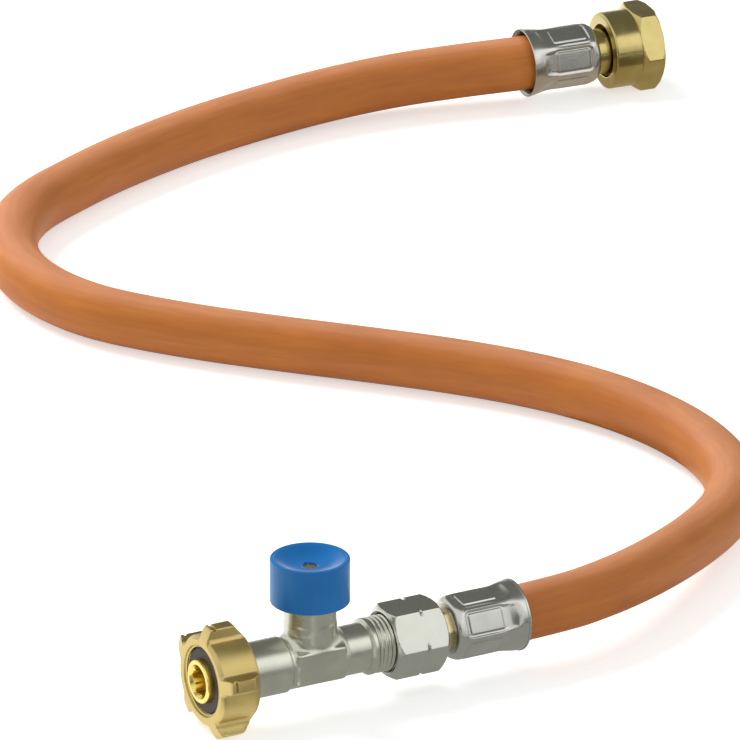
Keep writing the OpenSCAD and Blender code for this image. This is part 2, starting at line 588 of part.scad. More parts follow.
module far_seal() color("darkslategray") on_far_end() difference() {
    rod_x(far_flange_r - 0.1, far_seal_x + touch, far_seal_x + flat_seal_t);
    rod_x(outlet_bore_r + 0.5, far_seal_x - 1, far_seal_x + flat_seal_t + 1, small);
}

module far_nut() color("darkgoldenrod") on_far_end() difference() {
    union() {
        turned([[0, far_nut_x], [far_collar_r - 0.6, far_nut_x], [far_collar_r, far_nut_x + 0.6],
            [far_collar_r, far_nut_x + far_collar_len + 1], [0, far_nut_x + far_collar_len + 1]]);
        intersection() {
            hex_x(far_nut_af, far_nut_x + far_collar_len, far_nut_end);
            turned(nut_outline(far_nut_af, far_nut_x + far_collar_len, far_nut_end));
        }
    }
    rod_x(far_hole_r, far_nut_x - 1, far_wall_x + eps);
    rod_x(far_relief_r, far_wall_x, far_thread_x);
    turned([[0, far_thread_x - eps], [far_thread_r, far_thread_x - eps], [far_thread_r, far_nut_end - 0.8],
        [far_relief_r, far_nut_end], [far_relief_r, far_nut_end + 1], [0, far_nut_end + 1]]);
}

valve_body();
inlet_nipple();
cylinder_seal();
nut_slip_ring();
cylinder_nut();
flow_seat();
flow_poppet();
poppet_clip();
poppet_spring();
poppet_guide();
gland_bush();
stem_o_ring();
return_spring();
button_pin();
pin_clip();
button_cap();
outlet_seal();
outlet_nut();
near_nipple();
near_ferrule();
hose();
far_ferrule();
far_nipple();
far_seal();
far_nut();
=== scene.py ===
"""Looks of the gas hose: the camera and the hose first, then one section for each piece."""
import bpy
import json
import math
import numpy as np
from mathutils import Matrix, Vector


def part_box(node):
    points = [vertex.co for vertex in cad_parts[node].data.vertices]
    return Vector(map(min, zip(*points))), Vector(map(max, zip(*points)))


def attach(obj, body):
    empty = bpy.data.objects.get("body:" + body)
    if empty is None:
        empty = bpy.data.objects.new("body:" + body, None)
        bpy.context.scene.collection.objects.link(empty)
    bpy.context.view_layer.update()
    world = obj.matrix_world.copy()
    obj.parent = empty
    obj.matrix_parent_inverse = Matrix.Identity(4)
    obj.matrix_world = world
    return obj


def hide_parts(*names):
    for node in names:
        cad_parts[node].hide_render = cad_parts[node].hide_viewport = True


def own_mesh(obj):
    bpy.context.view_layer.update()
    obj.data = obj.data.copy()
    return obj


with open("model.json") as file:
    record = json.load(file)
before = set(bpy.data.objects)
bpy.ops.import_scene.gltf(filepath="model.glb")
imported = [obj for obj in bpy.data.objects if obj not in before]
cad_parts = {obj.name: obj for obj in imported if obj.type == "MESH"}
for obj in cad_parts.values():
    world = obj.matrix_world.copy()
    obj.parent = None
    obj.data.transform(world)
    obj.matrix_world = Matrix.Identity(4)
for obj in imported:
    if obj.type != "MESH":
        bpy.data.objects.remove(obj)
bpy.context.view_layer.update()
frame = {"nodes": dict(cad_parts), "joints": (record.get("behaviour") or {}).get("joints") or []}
MM = 0.001


# ---- Places, read from the frame ----
def middle(node):
    low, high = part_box(node)
    return [(low[i] + high[i]) / 2 for i in range(3)]


def joint(name):
    return next(j for j in frame["joints"] if j["name"] == name)


STEM_X = middle("button_pin")[0] / MM  # the button's axis
AXIS_Y = middle("button_pin")[1] / MM
AXIS_Z = middle("near_ferrule")[2] / MM  # the pipe's axis
VALVE_ORIGIN = Vector((STEM_X, AXIS_Y, AXIS_Z))


def along(node, end):
    """Where a node of the valve starts (0) or ends (1) along the pipe, in mm from the button's axis."""
    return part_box(node)[end][0] / MM - STEM_X


def above(node, end):
    """How high a node of the valve starts (0) or ends (1) above the pipe's axis, in mm."""
    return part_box(node)[end][2] / MM - AXIS_Z


far_turn = joint("far_nut_turn")
FAR_DIRECTION = Vector(far_turn["axis"]).normalized()

# The hose's way, point by point, in metres, as the frame's solid has it.
ROUTE = [
    (0.069, 0.0018, 0.0156), (0.0812, 0.005, 0.0153), (0.0932, 0.0099, 0.0147), (0.1047, 0.0162, 0.0138),
    (0.1162, 0.0235, 0.0128), (0.128, 0.032, 0.0118), (0.1396, 0.0418, 0.0108), (0.1506, 0.0536, 0.0098),
    (0.1596, 0.0681, 0.009), (0.1653, 0.0861, 0.0084), (0.1668, 0.1056, 0.0082), (0.164, 0.1261, 0.0082),
    (0.1573, 0.1462, 0.0082), (0.1465, 0.166, 0.0082), (0.132, 0.1855, 0.0082), (0.1145, 0.205, 0.0082),
    (0.0975, 0.223, 0.0082), (0.0815, 0.241, 0.0082), (0.0685, 0.258, 0.0082), (0.06, 0.2725, 0.0082),
    (0.0555, 0.2875, 0.0082), (0.0545, 0.3025, 0.0082), (0.057, 0.317, 0.0082), (0.0626, 0.3306, 0.0082),
    (0.0712, 0.343, 0.0082), (0.083, 0.3535, 0.0082), (0.099, 0.3623, 0.0082), (0.1205, 0.372, 0.0082),
    (0.1468, 0.3808, 0.0082), (0.1722, 0.3862, 0.0084), (0.1972, 0.3882, 0.0092), (0.2206, 0.3866, 0.0103),
    (0.2415, 0.382, 0.0113),
]
FAR_MOUTH = Vector((0.2612, 0.377, 0.012))  # where the hose enters the far ferrule
FERRULE_LEN = along("near_ferrule", 1) - along("near_ferrule", 0)
HOSE_R = 8.15
HOSE_IN = 12.0  # how far the hose shows into a ferrule


# ---- Camera ----
CAMERA_AZIMUTH = 28.5
CAMERA_ELEVATION = 22.5
CAMERA_DISTANCE = 5.9  # metres: the view is nearly without perspective
SENSOR = 36  # mm
CAMERA_LENS = 1020.3  # mm
AIM_RIGHT, AIM_UP = 0.01685, 0.081  # metres from the valve to the view's middle


def set_camera():
    """A long lens in front of the valve, above it and to its left."""
    azimuth, elevation = math.radians(CAMERA_AZIMUTH), math.radians(CAMERA_ELEVATION)
    level = math.cos(elevation)
    forward = Vector((math.sin(azimuth) * level, math.cos(azimuth) * level, -math.sin(elevation)))
    right = Vector((math.cos(azimuth), -math.sin(azimuth), 0))
    up = right.cross(forward)
    aim = VALVE_ORIGIN * MM + right * AIM_RIGHT + up * AIM_UP
    data = bpy.data.cameras.new("camera")
    data.sensor_width = SENSOR
    data.lens = CAMERA_LENS
    data.clip_start = 0.5
    data.clip_end = 30
    camera = bpy.data.objects.new("camera", data)
    camera.matrix_world = Matrix.Translation(aim - forward * CAMERA_DISTANCE) @ Matrix(
        (right, up, -forward)).transposed().to_4x4()
    bpy.context.scene.collection.objects.link(camera)
    bpy.context.scene.camera = camera


set_camera()


# ---- Mesh helpers ----
def make_object(name, points, faces, body, sharp=32):
    """An object from points in metres. Faces that meet at more than sharp degrees keep a crisp edge."""
    mesh = bpy.data.meshes.new(name)
    mesh.from_pydata([tuple(p) for p in points], [], faces)
    mesh.validate()
    mesh.shade_smooth()
    mesh.set_sharp_from_angle(angle=math.radians(sharp))
    thing = bpy.data.objects.new(name, mesh)
    bpy.context.scene.collection.objects.link(thing)
    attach(thing, body)
    return thing


def on_valve(x, y, z):
    """Places in the frame from mm around the valve's origin."""
    return np.stack([x + STEM_X, y + AXIS_Y, z + AXIS_Z], axis=-1) * MM


def on_far_end(x, y, z):
    """Places in the frame from mm along the far fitting. X is 0 at its mouth."""
    side = Vector((-FAR_DIRECTION.y, FAR_DIRECTION.x, 0))
    start = np.array(FAR_MOUTH)
    return (start + MM * (x[..., None] * np.array(FAR_DIRECTION) + y[..., None] * np.array(side)
            + z[..., None] * np.array((0, 0, 1))))


def on_stem(x, y, z):
    """The lathe's X becomes +Z, so that pieces of the button are turned upright."""
    return on_valve(-z, y, x)


def angles(sides):
    """Angles around the pipe: 0 is +Z, and they grow towards -Y."""
    return np.arange(sides) * 2 * math.pi / sides


def turned_from(centre, sides):
    """How far each side is turned from an angle, from -pi to pi."""
    return (angles(sides) - centre + math.pi) % (2 * math.pi) - math.pi


def lathe(name, rings, place, body, sides=192, sharp=32):
    """A closed piece from rings (x, r) around X, in mm. r is a number or a value for each side.
    The last ring joins the first, and a ring of r = 0 closes to a point."""
    turn = angles(sides)
    points, starts = [], []
    for x, r in rings:
        r = np.broadcast_to(np.asarray(r, float), (sides,))
        starts.append(len(points))
        if r.max() < 1e-6:
            points.append((x, 0.0, 0.0))
        else:
            points.extend(zip(np.full(sides, float(x)), -r * np.sin(turn), r * np.cos(turn)))
    points = np.array(points)
    single = [stop - start == 1 for start, stop in zip(starts, starts[1:] + [len(points)])]
    faces = []
    for i in range(len(rings)):
        j = (i + 1) % len(rings)
        a, b = starts[i], starts[j]
        if single[i] and single[j]:
            continue
        for k in range(sides):
            m = (k + 1) % sides
            if single[i]:
                faces.append((a, b + k, b + m))
            elif single[j]:
                faces.append((a + k, b, a + m))
            else:
                faces.append((a + k, b + k, b + m, a + m))
    placed = place(points[:, 0], points[:, 1], points[:, 2])
    return make_object(name, placed, faces, body, sharp)


def rounded(corners, steps=4):
    """A profile from corners (x, r, radius): each corner becomes a short curve of about that radius."""
    out = []
    n = len(corners)
    for i, (x, r, radius) in enumerate(corners):
        here = np.array((x, r), float)
        if radius <= 0:
            out.append(tuple(here))
            continue
        before = np.array(corners[i - 1][:2], float) - here
        after = np.array(corners[(i + 1) % n][:2], float) - here
        reach = min(radius, 0.49 * np.linalg.norm(before), 0.49 * np.linalg.norm(after))
        start = here + before / np.linalg.norm(before) * reach
        end = here + after / np.linalg.norm(after) * reach
        for t in np.linspace(0, 1, steps + 1):
            out.append(tuple((1 - t) ** 2 * start + 2 * t * (1 - t) * here + t * t * end))
    return out


def least(sharpness, *radii):
    """A soft minimum of radii: the higher sharpness, the crisper the edge between them."""
    return sum(np.asarray(r, float) ** -sharpness for r in radii) ** (-1 / sharpness)


def hexagon_radius(flats, sides, sharpness, turn=0.0):
    """The radius of a hexagon bar at each side, from its width across flats. turn is in degrees."""
    a = angles(sides) + math.radians(turn)
    out = np.zeros(sides)
    for i in range(6):
        out += np.clip(np.cos(a - math.pi * i / 3), 0.02, None) ** sharpness
    return flats / 2 * out ** (-1 / sharpness)


def smooth_step(low, high, value):
    t = np.clip((value - low) / (high - low), 0, 1)
    return t * t * (3 - 2 * t)


def helix(x, sides, pitch, hand):
    """A thread's wave, from 0 in the groove to 1 on the crest. hand is 1 for a right-hand thread."""
    phase = (x / pitch - hand * angles(sides) / (2 * math.pi)) % 1
    ridge = 1 - np.abs(phase * 2 - 1)
    return np.clip((ridge - 0.14) / 0.66, 0, 1)


# ---- Hose ----
def smooth_line(points, steps):
    """A curve through all points but the first and last, as the frame's solid has it."""
    out = []
    for i in range(1, len(points) - 2):
        a, b, c, d = points[i - 1:i + 3]
        for k in range(steps):
            t = k / steps
            out.append(0.5 * (2 * b + (c - a) * t + (2 * a - 5 * b + 4 * c - d) * t * t
                              + (3 * b - a - 3 * c + d) * t ** 3))
    out.append(points[-2])
    return out


def make_hose():
    """Extruded rubber hose: a round tube along the route."""
    near = Vector((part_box("near_ferrule")[1][0], AXIS_Y * MM, AXIS_Z * MM))
    far = FAR_MOUTH
    pull = 0.012  # how far the curve's guides lie behind a mouth
    guides = [near - Vector((pull, 0, 0)), near] + [Vector(p) for p in ROUTE]
    guides += [far, far + FAR_DIRECTION * pull]
    start = [near - Vector((d * MM, 0, 0)) for d in (HOSE_IN, HOSE_IN * 2 / 3, HOSE_IN / 3)]
    end = [far + FAR_DIRECTION * d * MM for d in (HOSE_IN / 3, HOSE_IN * 2 / 3, HOSE_IN)]
    line = start + smooth_line(guides, 10) + end
    sides = 48
    points, faces, ways = [], [], []
    distance = 0.0
    for i, p in enumerate(line):
        tangent = (line[min(i + 1, len(line) - 1)] - line[max(i - 1, 0)]).normalized()
        side = tangent.cross(Vector((0, 0, 1))).normalized()
        up = side.cross(tangent)
        if i:
            distance += (p - line[i - 1]).length
        for k in range(sides):
            a = 2 * math.pi * k / sides
            points.append(p + HOSE_R * MM * (math.cos(a) * side + math.sin(a) * up))
            ways.append((distance, k / sides, 0))
    for i in range(len(line) - 1):
        for k in range(sides):
            m = (k + 1) % sides
            a = i * sides
            faces.append((a + k, a + k + sides, a + m + sides, a + m))
    faces.append(tuple(range(sides)))
    faces.append(tuple(reversed(range((len(line) - 1) * sides, len(line) * sides))))
    piece = make_object("rubber_hose", points, faces, "hose_assembly", sharp=60)
    place = piece.data.attributes.new("along", "FLOAT_VECTOR", "POINT")
    place.data.foreach_set("vector", np.array(ways, float).ravel())
    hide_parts("hose")


# ---- Cylinder nut ----
LUGS = 5
LUG_TURN = 30.0  # the lowest lug's turn from straight down
LUG_TIP_R = 17.0
NUT_BODY_R = 13.2
CYLINDER_PITCH = 1.814  # W 21.8 x 1/14
OUTLET_PITCH = 1.337  # G 3/8
FAR_PITCH = 1.5  # M20 x 1.5


def lug_outline(sides, body_r):
    """The lugged nut's outline: narrow lugs with flat tips, and a hollow at the foot of each."""
    tip_half, side_half, foot_half = math.radians(5.4), math.radians(8.2), math.radians(14)
    out = np.full(sides, body_r)
    for i in range(LUGS):
        centre = math.radians(180 - LUG_TURN + 360 * i / LUGS)
        off = np.abs(turned_from(centre, sides))
        side = 1 - 0.72 * smooth_step(tip_half, side_half + math.radians(1.2), off)
        foot = 0.28 * (1 - np.clip((off - side_half) / (foot_half - side_half), 0, 1)) ** 2
        rise = np.where(off < side_half, side, np.minimum(side, foot))
        out = np.maximum(out, body_r + (LUG_TIP_R - body_r) * rise)
    return out


def make_cylinder_nut():
    """Forged and turned brass hand nut, with a notch in each lug as the sign of a left-hand thread."""
    sides = 720
    front, back = along("cylinder_nut", 0), along("cylinder_nut", 1)
    tip, body = LUG_TIP_R, NUT_BODY_R
    notch = front + 2.7
    front_slope = [(0, body - 0.4), (0.1, body), (0.3, body + 0.7), (0.7, body + 1.9), (1.1, tip - 1.0),
                   (1.35, tip - 0.3), (1.55, tip)]
    notch_sides = [(-0.6, tip), (-0.5, tip - 0.1), (-0.3, tip - 0.8), (0.3, tip - 0.8), (0.6, tip - 0.1),
                   (0.7, tip), (1.2, tip)]
    back_slope = [(6, tip), (4.2, tip), (3.8, tip - 0.12), (3.3, tip - 0.5), (2.1, tip - 2.0),
                  (1.1, tip - 3.3), (0.5, body - 0.05), (0.15, body - 0.4), (0, body - 0.9)]
    cap = [(front + x, r) for x, r in front_slope]
    cap += [(notch + x, r) for x, r in notch_sides]
    cap += [(back - x, r) for x, r in back_slope]
    outer = []
    for x, c in cap:
        ring = body - 1.3 * (1 - smooth_step(-0.4, 1.1, x - front))
        outer.append((x, least(90, lug_outline(sides, ring), c)))
    wall = back - 2.2
    hole, thread, depth = 9.06, 9.75, 1.05
    inner = rounded([(back, hole, 0.3), (wall, hole, 0)])
    inner.append((wall, thread))
    for x in np.arange(wall - 0.15, front + 0.9, -0.15):
        fade = smooth_step(0, 1.2, wall - x) * smooth_step(0, 1.0, x - front - 0.8)
        inner.append((x, thread + depth * fade * (1 - helix(x, sides, CYLINDER_PITCH, -1))))
    inner += rounded([(front + 0.75, thread + 0.4, 0.2), (front + 0.12, 10.35, 0.2), (front, 10.6, 0.1)])
    piece = lathe("cylinder_nut_body", outer + inner, on_valve, "cylinder_nut", sides)
    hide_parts("cylinder_nut")


def make_cylinder_seal():
    """Moulded nitrile rubber ring with a slightly domed face."""
    front, back = along("cylinder_seal", 0), along("cylinder_seal", 1)
    hole, radius = 6.33, 9.5
    rings = rounded([(front + 0.1, hole, 0.2), (front, 7.9, 2.0), (front + 0.15, radius, 0.5),
                     (back, radius, 0.1), (back, hole, 0.1)])
    piece = lathe("cylinder_seal_ring", rings, on_valve, "valve")
    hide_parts("cylinder_seal")


def make_inlet_nipple():
    """Turned brass nose with a hexagon socket, bright from the tool."""
    sides = 360
    front, back = along("inlet_nipple", 0), along("inlet_nipple", 1)
    flange = along("cylinder_seal", 1) + 0.02
    nose_r, flange_r, flange_t, thread_r, hole = 6.3, 9.5, 1.48, 5.2, 3.0
    outer = rounded([(front, 5.05, 0.1), (front, nose_r, 0.7), (flange, nose_r, 0), (flange, flange_r, 0.2),
                     (flange + flange_t, flange_r, 0.1), (flange + flange_t, thread_r, 0),
                     (back, thread_r, 0.4), (back, hole, 0.2)])
    socket_flats = 8.4
    socket = hexagon_radius(socket_flats, sides, 26)
    depth = front + 7.4
    inner = [(depth + 0.9, hole), (depth + 0.3, hole + 0.02), (depth, least(60, socket, socket_flats / 2)),
             (front + 1.3, socket), (front + 0.7, np.maximum(socket, 4.6)), (front + 0.1, 5.0)]
    piece = lathe("inlet_nipple_nose", outer + inner, on_valve, "valve", sides)
    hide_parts("inlet_nipple")


def make_slip_ring():
    """Thin pressed brass ring that the nut turns on."""
    front, back = along("nut_slip_ring", 0), along("nut_slip_ring", 1)
    hole, waist, rim = 8.18, 8.98, 9.48
    rings = rounded([(front, hole, 0.1), (front, rim, 0.1), (front + 0.5, rim, 0.1),
                     (front + 0.5, waist, 0), (back - 0.7, waist, 0), (back - 0.7, rim, 0.2),
                     (back, rim, 0.25), (back, hole, 0.1)])
    piece = lathe("slip_ring_shell", rings, on_valve, "nut_ring")
    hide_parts("nut_slip_ring")


# ---- Valve body ----
def soft_union(a, b, blend):
    """Two distance fields joined with a fillet of about that size."""
    h = np.clip(0.5 + 0.5 * (b - a) / blend, 0, 1)
    return b * (1 - h) + a * h - blend * h * (1 - h)


def soft_cut(a, b, blend):
    """The field a without b, with an edge rounded by about that size."""
    return -soft_union(-a, b, blend)


def rod_field(across, lengthwise, radius, low, high, edge):
    """A round rod with rounded ends. across is the distance from its axis."""
    q_r = across - radius + edge
    q_x = np.abs(lengthwise - (low + high) / 2) - (high - low) / 2 + edge
    return np.minimum(np.maximum(q_r, q_x), 0) + np.hypot(np.maximum(q_r, 0), np.maximum(q_x, 0)) - edge


def block_field(x, y, z, centre, half, edge):
    """A block with rounded edges. half is its size from the centre."""
    q = [np.abs(v - c) - h + edge for v, c, h in zip((x, y, z), centre, half)]
    outside = np.sqrt(sum(np.maximum(v, 0) ** 2 for v in q))
    return outside + np.minimum(np.maximum(np.maximum(q[0], q[1]), q[2]), 0) - edge


def valve_field(x, y, z):
    """Distance from the forged tee body, in mm, with its turned inlet and bores."""
    # Each rod has its radius, where it starts and ends, and the rounding of its ends.
    inlet_from = along("valve_body", 0)
    around = np.hypot(y, z)
    inlet = rod_field(around, x, 8.1, inlet_from, -9.2, 0.55)
    middle_run = rod_field(around, x, 7.55, -11, 9.0, 0.8)
    run = rod_field(around, x, 7.1, 4, 17.0, 0.7)
    pads = block_field(x, y, z, (0, 0, 0), (7.6, 7.7, 4.9), 0.8)
    upright = np.hypot(x, y)
    stem_r = 7.5
    low_stem = rod_field(upright, z, stem_r, 0, 12, 0.5)
    stem = rod_field(upright, z, stem_r, 9.4, 21, 0.45)
    forging = soft_union(middle_run, run, 0.8)
    forging = soft_union(forging, low_stem, 2.6)
    forging = soft_union(forging, pads, 1.2)
    forging = soft_union(forging, stem, 0.45)
    body = soft_union(forging, inlet, 0.35)
    groove_x, groove_at_r, groove_r = -9.0, 8.35, 0.55
    groove = np.hypot(around - groove_at_r, x - groove_x) - groove_r
    body = soft_cut(body, groove, 0.25)
    # A small blind dimple in the stem, left by the tool that holds it.
    dimple_at, dimple_r = (3.4, -7.9, 14.6), 1.15
    dimple = np.sqrt(sum((v - c) ** 2 for v, c in zip((x, y, z), dimple_at))) - dimple_r
    body = soft_cut(body, dimple, 0.2)
    bore = rod_field(around, x, 4.5, inlet_from - 2, -9, 0.1)
    mouth = rod_field(around, x, 5.25, inlet_from - 2, along("inlet_nipple", 1), 0.05)
    through = rod_field(around, x, 3.5, -9.5, 40, 0.1)
    shaft = rod_field(upright, z, 4.0, 0, 12, 0.1)
    gland = rod_field(upright, z, 5.52, 10.5, 30, 0.1)
    for hole in (bore, mouth, through, shaft, gland):
        body = soft_cut(body, hole, 0.12)
    return body


def surface_of(field, low, high, cell):
    """Points and faces where a distance field is zero, on a grid of cells (a surface net)."""
    axes = [np.arange(low[i], high[i] + cell, cell) for i in range(3)]
    grid = field(*np.meshgrid(*axes, indexing="ij"))
    inside = grid < 0
    shape = np.array(grid.shape) - 1
    total = np.zeros(shape.tolist() + [3])
    count = np.zeros(shape)
    corners = [(i, j, k) for i in (0, 1) for j in (0, 1) for k in (0, 1)]

    def corner(values, c):
        return values[c[0]:c[0] + shape[0], c[1]:c[1] + shape[1], c[2]:c[2] + shape[2]]

    for c in corners:
        for axis in range(3):
            if c[axis]:
                continue
            d = list(c)
            d[axis] = 1
            a, b = corner(grid, c), corner(grid, d)
            crosses = corner(inside, c) != corner(inside, d)
            t = np.where(crosses, a / np.where(crosses, a - b, 1), 0)
            for i in range(3):
                total[..., i] += np.where(crosses, c[i] + (t if i == axis else 0), 0)
            count += crosses
    used = count > 0
    number = np.full(shape, -1)
    number[used] = np.arange(used.sum())
    cells = np.argwhere(used)
    points = (cells + total[used] / count[used][:, None]) * cell + np.array(low)
    faces = []
    for axis in range(3):
        u, v = (axis + 1) % 3, (axis + 2) % 3
        before = [slice(None)] * 3
        after = [slice(None)] * 3
        before[axis], after[axis] = slice(0, -1), slice(1, None)
        change = inside[tuple(before)] != inside[tuple(after)]
        where = np.argwhere(change)
        for side in (u, v):
            where = where[(where[:, side] > 0) & (where[:, side] < shape[side])]
        step_u, step_v = np.eye(3, dtype=int)[u], np.eye(3, dtype=int)[v]
        steps = (0 * step_u, step_u, step_u + step_v, step_v)
        quad = np.stack([number[tuple((where - step).T)] for step in steps], axis=1)
        outward = inside[tuple(where.T)]
        quad[~outward] = quad[~outward][:, ::-1]
        faces += quad.tolist()
    return points, faces


def settle_on(field, points, rounds=3):
    """Moves points onto the zero of a field, along its slope."""
    h = 0.02
    furthest = 0.15  # mm that a point moves in one round
    for _ in range(rounds):
        x, y, z = points.T
        value = field(x, y, z)
        slope = np.stack([field(x + h, y, z) - field(x - h, y, z), field(x, y + h, z) - field(x, y - h, z),
                          field(x, y, z + h) - field(x, y, z - h)], axis=1) / (2 * h)
        size = np.maximum((slope ** 2).sum(axis=1), 0.25)
        points = points - slope * np.clip(value / size, -furthest, furthest)[:, None]
    return points


def make_valve_body():
    """Nickel-plated brass forging with a bare pad on each side."""
    cell = 0.32  # mm
    low = (along("valve_body", 0) - 1, -10, -9.5)
    high = (18.5, 10, above("valve_body", 1) + 1)
    points, faces = surface_of(valve_field, low, high, cell)
    points = settle_on(valve_field, points)
    placed = on_valve(points[:, 0], points[:, 1], points[:, 2])
    piece = make_object("valve_forging", placed, faces, "valve", sharp=50)
    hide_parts("valve_body")


def make_outlet_thread():
    """G 3/8 left-hand thread, cut after the forging, with a turned collar before it."""
    sides = 240
    start, end = 16.2, along("valve_body", 1)
    crest, depth, collar, bore = 8.15, 0.4, 8.2, 3.5
    rings = rounded([(start, bore, 0), (start, 6.9, 0.2), (start + 0.1, 7.2, 0.1),
                     (start + 0.8, collar, 0.2), (start + 1.9, collar, 0.2), (start + 2.15, 7.35, 0.15)])
    for x in np.arange(start + 2.4, end - 0.1, 0.13):
        fade = smooth_step(start + 2.3, start + 2.9, x) * smooth_step(0, 0.9, end - x)
        rings.append((x, crest - depth + depth * fade * helix(x, sides, OUTLET_PITCH, -1)))
    rings += rounded([(end, 7.0, 0.2), (end, bore, 0.3)])
    piece = lathe("outlet_thread", rings, on_valve, "valve", sides)
    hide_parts("valve_body")


# ---- Springs ----
def make_spring(node, axis, wire_r, fixed_end):
    """A coil of drawn steel wire between two pieces."""
    turns = 5
    low, high = (np.array(c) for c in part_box(node))
    centre, half = (low + high) / 2, (high - low) / 2
    coil_r = half[(axis + 1) % 3] - wire_r
    steps, sides = 30, 12
    around = np.linspace(0, 1, turns * steps + 1)
    turn = 2 * math.pi * turns * around
    outwards = np.stack([np.cos(turn), np.sin(turn), 0 * turn], axis=-1)
    rise = 2 * (half[axis] - wire_r)
    way = outwards * coil_r + np.outer(around - 0.5, (0, 0, rise))
    climb = 0 * turn + rise / (2 * math.pi * turns)
    onwards = np.stack([-coil_r * np.sin(turn), coil_r * np.cos(turn), climb], axis=-1)
    onwards /= np.linalg.norm(onwards, axis=1)[:, None]
    across = np.cross(onwards, outwards)
    points = []
    for place, out, side in zip(way, outwards, across):
        for a in angles(sides):
            points.append(place + wire_r * (math.cos(a) * out + math.sin(a) * side))
    points = np.roll(np.array(points), (axis + 1) % 3, axis=1) + centre
    faces = []
    for i in range(len(way) - 1):
        for k in range(sides):
            a, b = i * sides + k, i * sides + (k + 1) % sides
            faces.append((a, b, b + sides, a + sides))
    faces.append(tuple(reversed(range(sides))))
    faces.append(tuple(range((len(way) - 1) * sides, len(way) * sides)))
    coil = make_object(node + "_coil", points, faces, "valve")
    anchor = list(centre)
    anchor[axis] = (low, high)[fixed_end][axis]
    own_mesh(coil)
    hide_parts(node)


# ---- Button ----
def make_button():
    """Moulded blue cap, dished for the thumb, with a slotted hole over the brass pin."""
    sides = 240
    low, top = above("button_cap", 0), above("button_cap", 1)
    radius = (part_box("button_cap")[1][0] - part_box("button_cap")[0][0]) / MM / 2
    dish, hole, inside, top_t = 2.4, 2.3, 8.1, 2.2
    skirt = [(low, inside, 0.2), (low, radius, 0.5), (top, radius, 0.95), (top, radius - 1.0, 0.1)]
    outer = rounded(skirt, 8)
    rim = radius - 1.1
    floor = top - dish
    for t in np.linspace(0, 1, 21):
        sunk = 1.1 * t * t / (t + 0.1)
        outer.append((top - dish * (1 - (1 - sunk) ** 2), rim * (1 - t) + (hole + 0.35) * t))
    slot_at = math.radians(-90)
    off = np.abs(turned_from(slot_at, sides))
    edge = hole + 0.55 * (1 - smooth_step(0.16, 0.24, off))
    rings = outer + [(floor - 0.08, edge + 0.1), (floor - 0.25, edge), (floor - top_t, edge),
                     (floor - top_t, inside)]
    piece = lathe("button_cap_shell", rings, on_stem, "button", sides, 40)
    piece.visible_glossy = False  # no blue in the plating below it
    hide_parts("button_cap")


# ---- Outlet nut ----
def corner_radius(flats):
    """From a hexagon's axis to its corners, for its width across flats."""
    return flats / 2 / math.cos(math.radians(30))


def chamfer(flats, corner, x, inward, length):
    """Rings of a hexagon's turned end, from the end at x to the full corners, length further on."""
    low, high = flats / 2 - 0.2, corner + 0.3
    return [(x + inward * length * t, low + (high - low) * t ** 0.8) for t in np.linspace(0, 1, 9)]


def make_outlet_nut():
    """Nickel-plated steel union nut, chamfered at both ends, with the notches of a left-hand thread."""
    sides = 480
    start, end = along("outlet_nut", 0), along("outlet_nut", 1)
    flats = (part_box("outlet_nut")[1][2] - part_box("outlet_nut")[0][2]) / MM
    corner = corner_radius(flats)
    outline = hexagon_radius(flats, sides, 150)
    notch = start + 0.56 * (end - start)
    cap = [(start, flats / 2 - 0.7), (start + 0.08, flats / 2 - 0.4)]
    cap += chamfer(flats, corner, start + 0.25, 1, 1.5)
    cap += [(notch - 0.7, corner + 0.3), (notch - 0.55, corner), (notch - 0.05, corner - 0.8),
            (notch + 0.05, corner - 0.8), (notch + 0.55, corner), (notch + 0.7, corner + 0.3)]
    cap += reversed(chamfer(flats, corner, end - 0.25, -1, 1.5))
    cap += [(end - 0.08, flats / 2 - 0.4), (end, flats / 2 - 0.7)]
    outer = [(x, least(150, outline, c)) for x, c in cap]
    shoulder = start + 13.95
    hole, thread, depth = 6.8, 8.35, 0.45
    inner = rounded([(end, hole, 0.3), (shoulder, hole, 0), (shoulder, thread, 0)])
    for x in np.arange(shoulder - 0.4, start + 0.8, -0.13):
        fade = smooth_step(0, 1.5, shoulder - x) * smooth_step(0, 1.0, x - start - 0.6)
        inner.append((x, thread + depth * fade * (1 - helix(x, sides, OUTLET_PITCH, -1))))
    inner += rounded([(start + 0.6, thread + 0.05, 0.2), (start, thread + 0.6, 0.15)])
    piece = lathe("outlet_nut_body", outer + inner, on_valve, "outlet_nut", sides, 24)
    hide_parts("outlet_nut")


# ---- Ferrules ----
PADS = 6
NEAR_PAD_TURN = 66.0  # from straight up towards -Y, to a pad's middle
FAR_PAD_TURN = 77.5
CRIMP_R, MOUTH_R = 9.2, 10.4
FLAT_R, RIDGE_R = 8.62, 9.33  # the die's flats and the ridges between them
PAD_FROM, PAD_TO, PAD_HALF = 4.2, 14.3, 2.95  # each pad's raised plate
PAD_EDGE = 0.35  # rounding of the plate's corners
CHANNEL_WIDTH, CHANNEL_DEPTH, BEAD = 1.5, 0.42, 0.1
FERRULE_BORE, FERRULE_HOLE, FERRULE_FLOOR = 8.18, 5.02, 1.7
FERRULE_SIDES = 720


